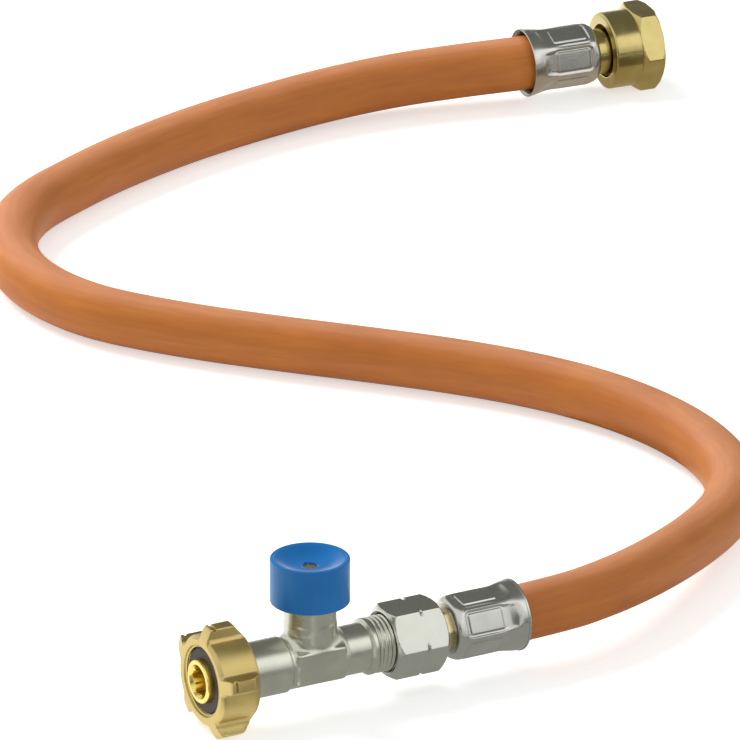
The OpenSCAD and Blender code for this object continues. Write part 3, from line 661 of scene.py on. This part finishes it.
def ferrule_rings(sides, pad_turn):
    """Rings of a crimped ferrule, from its closed end at x = 0 to its flared mouth."""
    length = FERRULE_LEN
    nearest = np.full(sides, 2 * math.pi)
    for i in range(PADS):
        centre = math.radians(pad_turn + 360 * i / PADS)
        off = turned_from(centre, sides)
        nearest = np.where(np.abs(off) < np.abs(nearest), off, nearest)
    flat_face = 1 / np.cos(nearest)
    sideways = np.abs(CRIMP_R * np.tan(nearest))
    rings = []
    xs = np.concatenate([[0.0, 0.06, 0.2, 0.45, 0.8, 1.2, 1.7, 2.2], np.arange(2.5, 20, 0.18),
                         np.arange(20, length - 1.3, 0.35)])
    for x in xs:
        end_round = 2.1 * (1 - math.sqrt(1 - (1 - min(x, 2.6) / 2.6) ** 2))
        flare = (MOUTH_R - 0.25 - CRIMP_R) * smooth_step(14.5, length - 1.2, x) ** 1.2
        base = CRIMP_R - end_round + flare
        # Six dies leave six flats. The ridges between them run on into the flared mouth.
        press = smooth_step(0.3, 3.0, x) * (1 - smooth_step(16.5, 21.5, x))
        six = least(45, FLAT_R * flat_face, RIDGE_R)
        r = base * (1 - press) + (six - CRIMP_R + base) * press
        # A raised plate in the middle of each flat, with a sunk channel around it, wider towards the mouth.
        past = x - PAD_TO
        beyond = PAD_FROM - x if past < 0 else min(past, 0.6 + (past - 0.6) / 4.5)
        q_x = max(beyond, -2.0) + PAD_EDGE
        q_s = sideways - PAD_HALF + PAD_EDGE
        outside = np.hypot(np.maximum(q_x, 0), np.maximum(q_s, 0))
        from_plate = outside + np.minimum(np.maximum(q_x, q_s), 0) - PAD_EDGE
        channel = np.sin(math.pi * np.clip(from_plate / CHANNEL_WIDTH, 0, 1))
        bead = np.exp(-((from_plate - CHANNEL_WIDTH) / 0.5) ** 2) * (1 - smooth_step(10, 17, x))
        r = r - CHANNEL_DEPTH * channel * smooth_step(1.2, 3.4, x) + BEAD * bead
        rings.append((x, r))
    rings += rounded([(length - 0.9, MOUTH_R - 0.03, 0.3), (length - 0.1, MOUTH_R, 0.4),
                      (length, MOUTH_R - 0.6, 0.3)])
    rings += [(length - 0.7, MOUTH_R - 0.95), (length - 2.6, MOUTH_R - 1.25), (length - 5, 8.5),
              (length - 7, FERRULE_BORE), (FERRULE_FLOOR, FERRULE_BORE), (FERRULE_FLOOR, FERRULE_HOLE),
              (0, FERRULE_HOLE)]
    return rings


def make_near_ferrule():
    """Zinc-plated steel sleeve, crimped by six dies."""
    sides = FERRULE_SIDES
    start = along("near_ferrule", 0)
    rings = [(x + start, r) for x, r in ferrule_rings(sides, NEAR_PAD_TURN)]
    piece = lathe("near_ferrule_shell", rings, on_valve, "hose_assembly", sides, 40)
    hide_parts("near_ferrule")


def make_far_ferrule():
    """The same sleeve at the hose's other end, turned round."""
    sides = FERRULE_SIDES
    rings = [(FERRULE_LEN - x, r) for x, r in ferrule_rings(sides, FAR_PAD_TURN)]
    rings.reverse()
    piece = lathe("far_ferrule_shell", rings, on_far_end, "hose_assembly", sides, 40)
    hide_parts("far_ferrule")


# ---- Nipples ----
NIPPLE_BORE, TAIL_R = 2.25, 4.9  # the tail is inside the hose
TAIL_LEN = 12
FAR_NUT_FROM = FERRULE_LEN + 3.6  # where the far nut starts on its nipple


def make_near_neck():
    """Turned brass neck, milled to a small hexagon beside the ferrule."""
    sides = 360
    start, end = along("near_nipple", 0), along("near_ferrule", 0)
    nut_end = along("outlet_nut", 1)
    hexagon = hexagon_radius(11.6, sides, 90, turn=12)
    shoulder = start + 3.5
    flange_r, neck_r = 7.4, 6.5
    rings = rounded([(start, NIPPLE_BORE, 0.2), (start, flange_r, 0.5), (shoulder, flange_r, 0.1),
                     (shoulder, neck_r, 0), (nut_end - 1.2, neck_r, 0.1)])
    flats = least(60, hexagon, neck_r)
    rings += [(nut_end - 0.9, flats), (end - 0.5, flats), (end - 0.02, least(60, hexagon, neck_r - 0.2)),
              (end + 0.3, TAIL_R), (end + TAIL_LEN, TAIL_R), (end + TAIL_LEN, NIPPLE_BORE)]
    piece = lathe("near_nipple_neck", rings, on_valve, "hose_assembly", sides)
    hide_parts("near_nipple")


def make_far_neck():
    """Turned brass neck with its flange inside the far nut."""
    start = FERRULE_LEN
    flange = FAR_NUT_FROM + 3.1
    end = flange + 2.4
    neck_r, flange_r = 6.9, 8.9
    tail = start - TAIL_LEN
    rings = rounded([(tail, NIPPLE_BORE, 0), (tail, TAIL_R, 0), (start - 0.1, TAIL_R, 0),
                     (start + 0.02, neck_r, 0.2), (flange, neck_r, 0), (flange, flange_r, 0.2),
                     (end, flange_r, 0.5), (end, NIPPLE_BORE, 0.3)])
    piece = lathe("far_nipple_neck", rings, on_far_end, "hose_assembly")
    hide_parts("far_nipple")


# ---- Far nut ----
def make_far_nut():
    """Turned brass union nut: a round collar, then a hexagon whose corners are chamfered."""
    sides = 480
    start = FAR_NUT_FROM
    collar, hex_len, collar_r, hole, chamber_r = 8.4, 7.5, 11.7, 8.0, 10.1
    end = start + collar + hex_len
    flats = (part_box("far_nut")[1][2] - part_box("far_nut")[0][2]) / MM
    corner = corner_radius(flats)
    outline = hexagon_radius(flats, sides, 130)
    rings = rounded([(start, hole, 0.45), (start, collar_r, 0.9), (start + collar - 0.05, collar_r, 0)], 6)
    cap = chamfer(flats, corner, start + collar, 1, 1.5)
    end_cap = reversed(chamfer(flats, corner, end, -1, 2.0))
    cap += [(x, r - 0.35 if end - x < 0.3 else r) for x, r in end_cap]
    rings += [(x, least(120, outline, c)) for x, c in cap]
    thread_from, thread, depth = start + 7.2, 9.19, 0.85
    rings += rounded([(end, chamber_r, 0.2), (end - 0.8, thread + 0.1, 0.1)])
    for x in np.arange(end - 1.0, thread_from + 0.3, -0.15):
        fade = smooth_step(0, 0.8, end - 0.9 - x) * smooth_step(0, 0.8, x - thread_from)
        rings.append((x, thread + depth * fade * (1 - helix(x, sides, FAR_PITCH, 1))))
    rings += [(thread_from, thread), (thread_from, chamber_r), (start + 3, chamber_r), (start + 3, hole)]
    piece = lathe("far_nut_body", rings, on_far_end, "far_nut", sides, 30)
    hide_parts("far_nut")


make_near_ferrule()
make_far_ferrule()
make_far_neck()
make_far_nut()
make_hose()
make_cylinder_nut()
make_cylinder_seal()
make_inlet_nipple()
make_slip_ring()
make_valve_body()
make_outlet_thread()
make_spring("return_spring", 2, 0.45 * MM, 0)
make_spring("poppet_spring", 0, 0.25 * MM, 1)
make_button()
make_outlet_nut()
make_near_neck()


# ---- Materials ----
def colour(text, share=1.0):
    """An sRGB hex colour as linear values."""
    out = []
    for i in (1, 3, 5):
        v = int(text[i:i + 2], 16) / 255
        v = v / 12.92 if v <= 0.04045 else ((v + 0.055) / 1.055) ** 2.4
        out.append(v * share)
    return tuple(out) + (1.0,)


def add_node(tree, kind, links=(), **settings):
    """Adds a node. links are (socket, from_node, output); a setting in_NAME sets the input NAME."""
    node = tree.nodes.new(kind)
    for key, value in settings.items():
        if key.startswith("in_"):
            node.inputs[key[3:].replace("_", " ")].default_value = value
        else:
            setattr(node, key, value)
    for socket, source, output in links:
        tree.links.new(source.outputs[output], node.inputs[socket])
    return node


def object_noise(tree, place, size_mm, detail):
    """Noise in the object's own space, with features of about that size."""
    return add_node(tree, "ShaderNodeTexNoise", [("Vector", place, "Object")], in_Scale=1 / (size_mm * MM),
                    in_Detail=detail)


def empty_material(name):
    """A material with nothing but its output node."""
    material = bpy.data.materials.new(name)
    material.use_nodes = True
    tree = material.node_tree
    tree.nodes.clear()
    return material, tree, tree.nodes.new("ShaderNodeOutputMaterial")


def new_material(name):
    material, tree, output = empty_material(name)
    shader = tree.nodes.new("ShaderNodeBsdfPrincipled")
    tree.links.new(shader.outputs["BSDF"], output.inputs["Surface"])
    return material, tree, shader


def ramp(tree, source, output, stops):
    """A colour ramp; stops are (place, colour)."""
    node = add_node(tree, "ShaderNodeValToRGB", [("Fac", source, output)])
    elements = node.color_ramp.elements
    while len(elements) < len(stops):
        elements.new(0.5)
    for element, (place, value) in zip(elements, stops):
        element.position = place
        element.color = value
    return node


def grey(v):
    return (v, v, v, 1.0)


def metal(name, dark, mid, light, rough_low, rough_high, grain_mm, bump, direction=None, turning_mm=None):
    """A metal whose colour and roughness drift a little, with a fine grain and, if turned, tool rings."""
    material, tree, shader = new_material(name)
    place = add_node(tree, "ShaderNodeTexCoord")
    cloud = object_noise(tree, place, 6, 3.0)
    tone = ramp(tree, cloud, "Fac", [(0.28, colour(dark)), (0.5, colour(mid)), (0.74, colour(light))])
    tree.links.new(tone.outputs["Color"], shader.inputs["Base Color"])
    grain = object_noise(tree, place, grain_mm, 4.0)
    rough = ramp(tree, cloud, "Fac", [(0.3, grey(rough_low)), (0.7, grey(rough_high))])
    tree.links.new(rough.outputs["Color"], shader.inputs["Roughness"])
    height = grain
    output = "Fac"
    if turning_mm:
        # Rings that the lathe tool leaves around the turned axis.
        turned = add_node(tree, "ShaderNodeVectorMath", [(0, place, "Object")], operation="DOT_PRODUCT")
        turned.inputs[1].default_value = direction
        line = add_node(tree, "ShaderNodeTexNoise", [("W", turned, "Value")], noise_dimensions="1D",
                        in_Scale=1 / (turning_mm * MM), in_Detail=2.0)
        height = add_node(tree, "ShaderNodeMath", [(0, grain, "Fac"), (1, line, "Fac")], operation="ADD")
        output = "Value"
    relief = add_node(tree, "ShaderNodeBump", [("Height", height, output)], in_Strength=bump,
                      in_Distance=0.05 * MM)
    tree.links.new(relief.outputs["Normal"], shader.inputs["Normal"])
    shader.inputs["Metallic"].default_value = 1.0
    return material


ALONG_X = (1.0, 0.0, 0.0)
ALONG_FAR = tuple(FAR_DIRECTION)

# Tumbled brass of the forged hand nut: a soft satin gloss, warm, with faint turning marks.
forged_brass = metal("forged_tumbled_brass", "#C4AE6E", "#CBB575", "#D2BD7E", 0.38, 0.46, 0.35, 0.2,
                     ALONG_X, 0.3)
# Turned brass bar of the far nut: crisper reflections, a little greener.
turned_brass = metal("turned_brass_bar", "#B8A86A", "#C0B073", "#C9BA7D", 0.2, 0.26, 0.3, 0.06,
                     ALONG_FAR, 0.25)
# Bright turned brass of the nose.
bright_brass = metal("bright_turned_brass", "#E4C666", "#ECD478", "#F2E28E", 0.2, 0.28, 0.25, 0.12,
                     ALONG_X, 0.2)
# Paler turned brass of the near neck, the slip ring and the small pieces inside.
neck_brass = metal("turned_neck_brass", "#C6B78C", "#D0C299", "#DACDA6", 0.24, 0.32, 0.25, 0.15,
                   ALONG_X, 0.2)
# Dull nickel plate over a blasted forging: grey with a trace of yellow, and a fine sandy grain.
forged_nickel = metal("nickel_plated_forging", "#C2C3B4", "#C9CABB", "#D0D1C2", 0.27, 0.33, 0.3, 0.2)
# Nickel plate over turned steel: cleaner and brighter than the forging.
turned_nickel = metal("nickel_plated_turned_steel", "#BEBFB5", "#C2C3B9", "#C7C8BE", 0.22, 0.26, 0.3, 0.05,
                      ALONG_X, 0.25)
# Zinc plate over drawn steel tube, smooth, with soft reflections.
zinc_steel = metal("zinc_plated_drawn_steel", "#BEBEB8", "#C4C4BE", "#CACAC4", 0.22, 0.27, 0.6, 0.06)
# Drawn steel wire of the springs and clips, bare.
spring_wire = metal("drawn_spring_wire", "#90918E", "#A8A9A6", "#BDBEBB", 0.25, 0.35, 0.2, 0.1)


def hose_rubber():
    """Extruded rubber: matt, with a slight bloom and faint lengthwise streaks from the die."""
    material, tree, shader = new_material("extruded_orange_rubber")
    place = add_node(tree, "ShaderNodeAttribute", attribute_name="along")
    parts = add_node(tree, "ShaderNodeSeparateXYZ", [("Vector", place, "Vector")])
    around = add_node(tree, "ShaderNodeMath", [(0, parts, "Y")], operation="MULTIPLY")
    around.inputs[1].default_value = 2 * math.pi
    cos = add_node(tree, "ShaderNodeMath", [(0, around, "Value")], operation="COSINE")
    sin = add_node(tree, "ShaderNodeMath", [(0, around, "Value")], operation="SINE")
    stretch = add_node(tree, "ShaderNodeMath", [(0, parts, "X")], operation="MULTIPLY")
    stretch.inputs[1].default_value = 12.0
    wrapped = add_node(tree, "ShaderNodeCombineXYZ",
                       [("X", cos, "Value"), ("Y", sin, "Value"), ("Z", stretch, "Value")])
    streaks = add_node(tree, "ShaderNodeTexNoise", [("Vector", wrapped, "Vector")], in_Scale=5.0,
                       in_Detail=4.0)
    object_place = add_node(tree, "ShaderNodeTexCoord")
    bloom = object_noise(tree, object_place, 22, 4.0)
    both = add_node(tree, "ShaderNodeMath", [(0, streaks, "Fac"), (1, bloom, "Fac")], operation="ADD")
    half = add_node(tree, "ShaderNodeMath", [(0, both, "Value")], operation="MULTIPLY")
    half.inputs[1].default_value = 0.5
    tone = ramp(tree, half, "Value", [(0.36, colour("#BF6D26")), (0.5, colour("#C7742B")),
                                      (0.64, colour("#D07D30"))])
    tree.links.new(tone.outputs["Color"], shader.inputs["Base Color"])
    grain = object_noise(tree, object_place, 0.5, 3.0)
    relief = add_node(tree, "ShaderNodeBump", [("Height", grain, "Fac")], in_Strength=0.22,
                      in_Distance=0.08 * MM)
    tree.links.new(relief.outputs["Normal"], shader.inputs["Normal"])
    rough = ramp(tree, bloom, "Fac", [(0.3, grey(0.52)), (0.7, grey(0.62))])
    tree.links.new(rough.outputs["Color"], shader.inputs["Roughness"])
    shader.inputs["IOR"].default_value = 1.5
    return material


SPOT_MM = 9.0  # size of the drift in a moulded surface's tone


def plain_surface(name, dark, light, rough_low, rough_high, grain_mm, bump, ior=1.5):
    """A moulded surface with a slight drift of tone and a fine grain."""
    material, tree, shader = new_material(name)
    place = add_node(tree, "ShaderNodeTexCoord")
    cloud = object_noise(tree, place, SPOT_MM, 3.0)
    tone = ramp(tree, cloud, "Fac", [(0.3, colour(dark)), (0.7, colour(light))])
    tree.links.new(tone.outputs["Color"], shader.inputs["Base Color"])
    rough = ramp(tree, cloud, "Fac", [(0.3, grey(rough_low)), (0.7, grey(rough_high))])
    tree.links.new(rough.outputs["Color"], shader.inputs["Roughness"])
    grain = object_noise(tree, place, grain_mm, 2.0)
    relief = add_node(tree, "ShaderNodeBump", [("Height", grain, "Fac")], in_Strength=bump,
                      in_Distance=0.04 * MM)
    tree.links.new(relief.outputs["Normal"], shader.inputs["Normal"])
    shader.inputs["IOR"].default_value = ior
    return material


rubber = hose_rubber()
# Moulded nitrile rubber, nearly black with a brown cast.
nitrile = plain_surface("moulded_nitrile_rubber", "#38302E", "#423936", 0.5, 0.62, 0.4, 0.25)
# Moulded nylon of the button, satin from a spark-eroded tool.
nylon = plain_surface("moulded_blue_nylon", "#1472BA", "#1878C2", 0.3, 0.38, 0.22, 0.12, ior=1.4)

FINISH = {
    "rubber_hose": rubber,
    "cylinder_nut_body": forged_brass,
    "cylinder_seal_ring": nitrile,
    "inlet_nipple_nose": bright_brass,
    "slip_ring_shell": neck_brass,
    "valve_forging": forged_nickel,
    "outlet_thread": forged_nickel,
    "return_spring_coil": spring_wire,
    "poppet_spring_coil": spring_wire,
    "button_cap_shell": nylon,
    "outlet_nut_body": turned_nickel,
    "near_ferrule_shell": zinc_steel,
    "far_ferrule_shell": zinc_steel,
    "near_nipple_neck": neck_brass,
    "far_nipple_neck": turned_brass,
    "far_nut_body": turned_brass,
}
NODE_FINISH = {
    "flow_seat": neck_brass,
    "flow_poppet": neck_brass,
    "poppet_guide": neck_brass,
    "gland_bush": neck_brass,
    "button_pin": neck_brass,
    "poppet_clip": spring_wire,
    "pin_clip": spring_wire,
    "stem_o_ring": nitrile,
    "outlet_seal": nitrile,
    "far_seal": nitrile,
}


def dress():
    """Gives every piece its material: those made here, and those that the frame shows as they are."""
    for name, finish in FINISH.items():
        bpy.data.objects[name].data.materials.clear()
        bpy.data.objects[name].data.materials.append(finish)
    for name, finish in NODE_FINISH.items():
        for place in frame["nodes"][name].material_slots:
            place.material = finish


dress()


# ---- Floor, backdrop and light ----
def seen_as_background(tree):
    """1 for camera, glossy and transmission rays, which the floor and the world show as white."""
    path = add_node(tree, "ShaderNodeLightPath")
    first = add_node(tree, "ShaderNodeMath", [(0, path, "Is Camera Ray"), (1, path, "Is Glossy Ray")],
                     operation="MAXIMUM")
    return add_node(tree, "ShaderNodeMath", [(0, first, "Value"), (1, path, "Is Transmission Ray")],
                    operation="MAXIMUM")


def make_floor():
    """A pale floor that reads as plain white, and still takes soft shadows."""
    size = 6.0
    mesh = bpy.data.meshes.new("floor")
    corners = [(-size, -size, 0), (size, -size, 0), (size, size, 0), (-size, size, 0)]
    mesh.from_pydata(corners, [], [(0, 1, 2, 3)])
    floor = bpy.data.objects.new("floor", mesh)
    bpy.context.scene.collection.objects.link(floor)
    material, tree, output = empty_material("pale_floor")
    matt = add_node(tree, "ShaderNodeBsdfDiffuse", in_Color=colour("#F4F4F2"))
    white = add_node(tree, "ShaderNodeEmission", in_Color=(1, 1, 1, 1), in_Strength=0.55)
    glow = add_node(tree, "ShaderNodeAddShader", [(0, matt, "BSDF"), (1, white, "Emission")])
    mix = add_node(tree, "ShaderNodeMixShader",
                   [("Fac", seen_as_background(tree), "Value"), (1, matt, "BSDF"), (2, glow, "Shader")])
    tree.links.new(mix.outputs["Shader"], output.inputs["Surface"])
    floor.data.materials.append(material)


def make_world():
    world = bpy.data.worlds.new("studio")
    bpy.context.scene.world = world
    world.use_nodes = True
    tree = world.node_tree
    tree.nodes.clear()
    output = tree.nodes.new("ShaderNodeOutputWorld")
    seen = seen_as_background(tree)
    strength = add_node(tree, "ShaderNodeMapRange", [("Value", seen, "Value")], in_To_Min=0.45,
                        in_To_Max=1.0)
    back = add_node(tree, "ShaderNodeBackground", [("Strength", strength, "Result")], in_Color=(1, 1, 1, 1))
    tree.links.new(back.outputs["Background"], output.inputs["Surface"])


HOSE_MIDDLE = Vector((0.08, 0.19, 0.0))  # metres: what the lamps face


def make_lamp(name, place, size, power, reflected):
    """A flat lamp that faces the middle of the hose. size is in metres and power in watts."""
    data = bpy.data.lights.new(name, "AREA")
    data.shape = "RECTANGLE"
    data.size, data.size_y = size
    data.energy = power
    lamp = bpy.data.objects.new(name, data)
    lamp.location = place
    lamp.rotation_euler = (HOSE_MIDDLE - lamp.location).to_track_quat("-Z", "Y").to_euler()
    lamp.visible_glossy = reflected
    bpy.context.scene.collection.objects.link(lamp)
    return lamp


def make_sheen(place, size, power):
    """A broad soft light that shines only in the hose's rubber, as the pale sheen along its top."""
    lamp = make_lamp("hose_sheen", place, size, power, reflected=True)
    lamp.visible_diffuse = False
    lit = bpy.data.collections.new("lit_by_sheen")
    lit.objects.link(bpy.data.objects["rubber_hose"])
    lamp.light_linking.receiver_collection = lit


NEUTRAL = (1, 1, 0.95)
WARM = (1, 0.86, 0.66)  # for the cards beside the brass


def make_card(name, corners, shade, tint=NEUTRAL):
    """A card that only reflections see: it gives the metal its darker bands."""
    mesh = bpy.data.meshes.new(name)
    mesh.from_pydata(corners, [], [(0, 1, 2, 3)])
    card = bpy.data.objects.new(name, mesh)
    bpy.context.scene.collection.objects.link(card)
    for ray in ("camera", "diffuse", "transmission", "shadow", "volume_scatter"):
        setattr(card, "visible_" + ray, False)
    material, tree, output = empty_material(name)
    glow = add_node(tree, "ShaderNodeEmission", in_Color=tint + (1,), in_Strength=shade)
    tree.links.new(glow.outputs["Emission"], output.inputs["Surface"])
    card.data.materials.append(material)


def hung_card(name, direction, distance, size, shade):
    """A card that hangs that far from the hose's middle and faces it. size is its width and height."""
    away = Vector(direction).normalized()
    side = Vector((0, 0, 1)).cross(away).normalized() * size[0] / 2
    rise = away.cross(side.normalized()) * size[1] / 2
    centre = HOSE_MIDDLE + Vector((0, 0, 0.02)) + away * distance
    make_card(name, [centre + a * side + b * rise for a, b in ((-1, -1), (1, -1), (1, 1), (-1, 1))], shade)


def floor_card(name, x, y, shade, tint=NEUTRAL):
    """A card that lies over the floor, from x[0] to x[1] and y[0] to y[1]."""
    low = 0.0001  # just over the floor
    corners = [(x[0], y[0], low), (x[1], y[0], low), (x[1], y[1], low), (x[0], y[1], low)]
    make_card(name, corners, shade, tint)


make_floor()
make_world()
make_lamp("key", (-0.5, 1.68, 1.78), (1.2, 1.2), 43, reflected=False)
make_sheen((0.45, 1.8, 1.5), (2.4, 2.0), 58)
make_lamp("front_box", (0.92, -0.99, 1.24), (1.6, 1.1), 2.4, reflected=True)
hung_card("back_card", (0.44, 0.35, 0.83), 1.5, (2.6, 3.3), 0.21)
hung_card("front_card", (0.46, -0.88, 0.04), 2.1, (2.2, 0.4), 0.15)
hung_card("left_card", (-0.62, -0.76, 0.2), 2.1, (2.0, 0.7), 0.15)
floor_card("stem_card", (-0.16, -0.036), (-0.12, -0.02), 0.38)
floor_card("valve_card", (-0.031, 0.12), (-0.12, 0.03), 0.43)
floor_card("near_card", (-0.4, 0.5), (-0.5, -0.12), 0.15)
floor_card("far_card", (0.2, 0.36), (0.347, 0.385), 0.5, WARM)
floor_card("end_card", (0.16, 0.264), (0.38, 0.5), 0.35)
floor_card("middle_card", (0.15, 0.6), (0.1, 0.347), 0.17, WARM)

bpy.context.scene.view_settings.view_transform = "Standard"
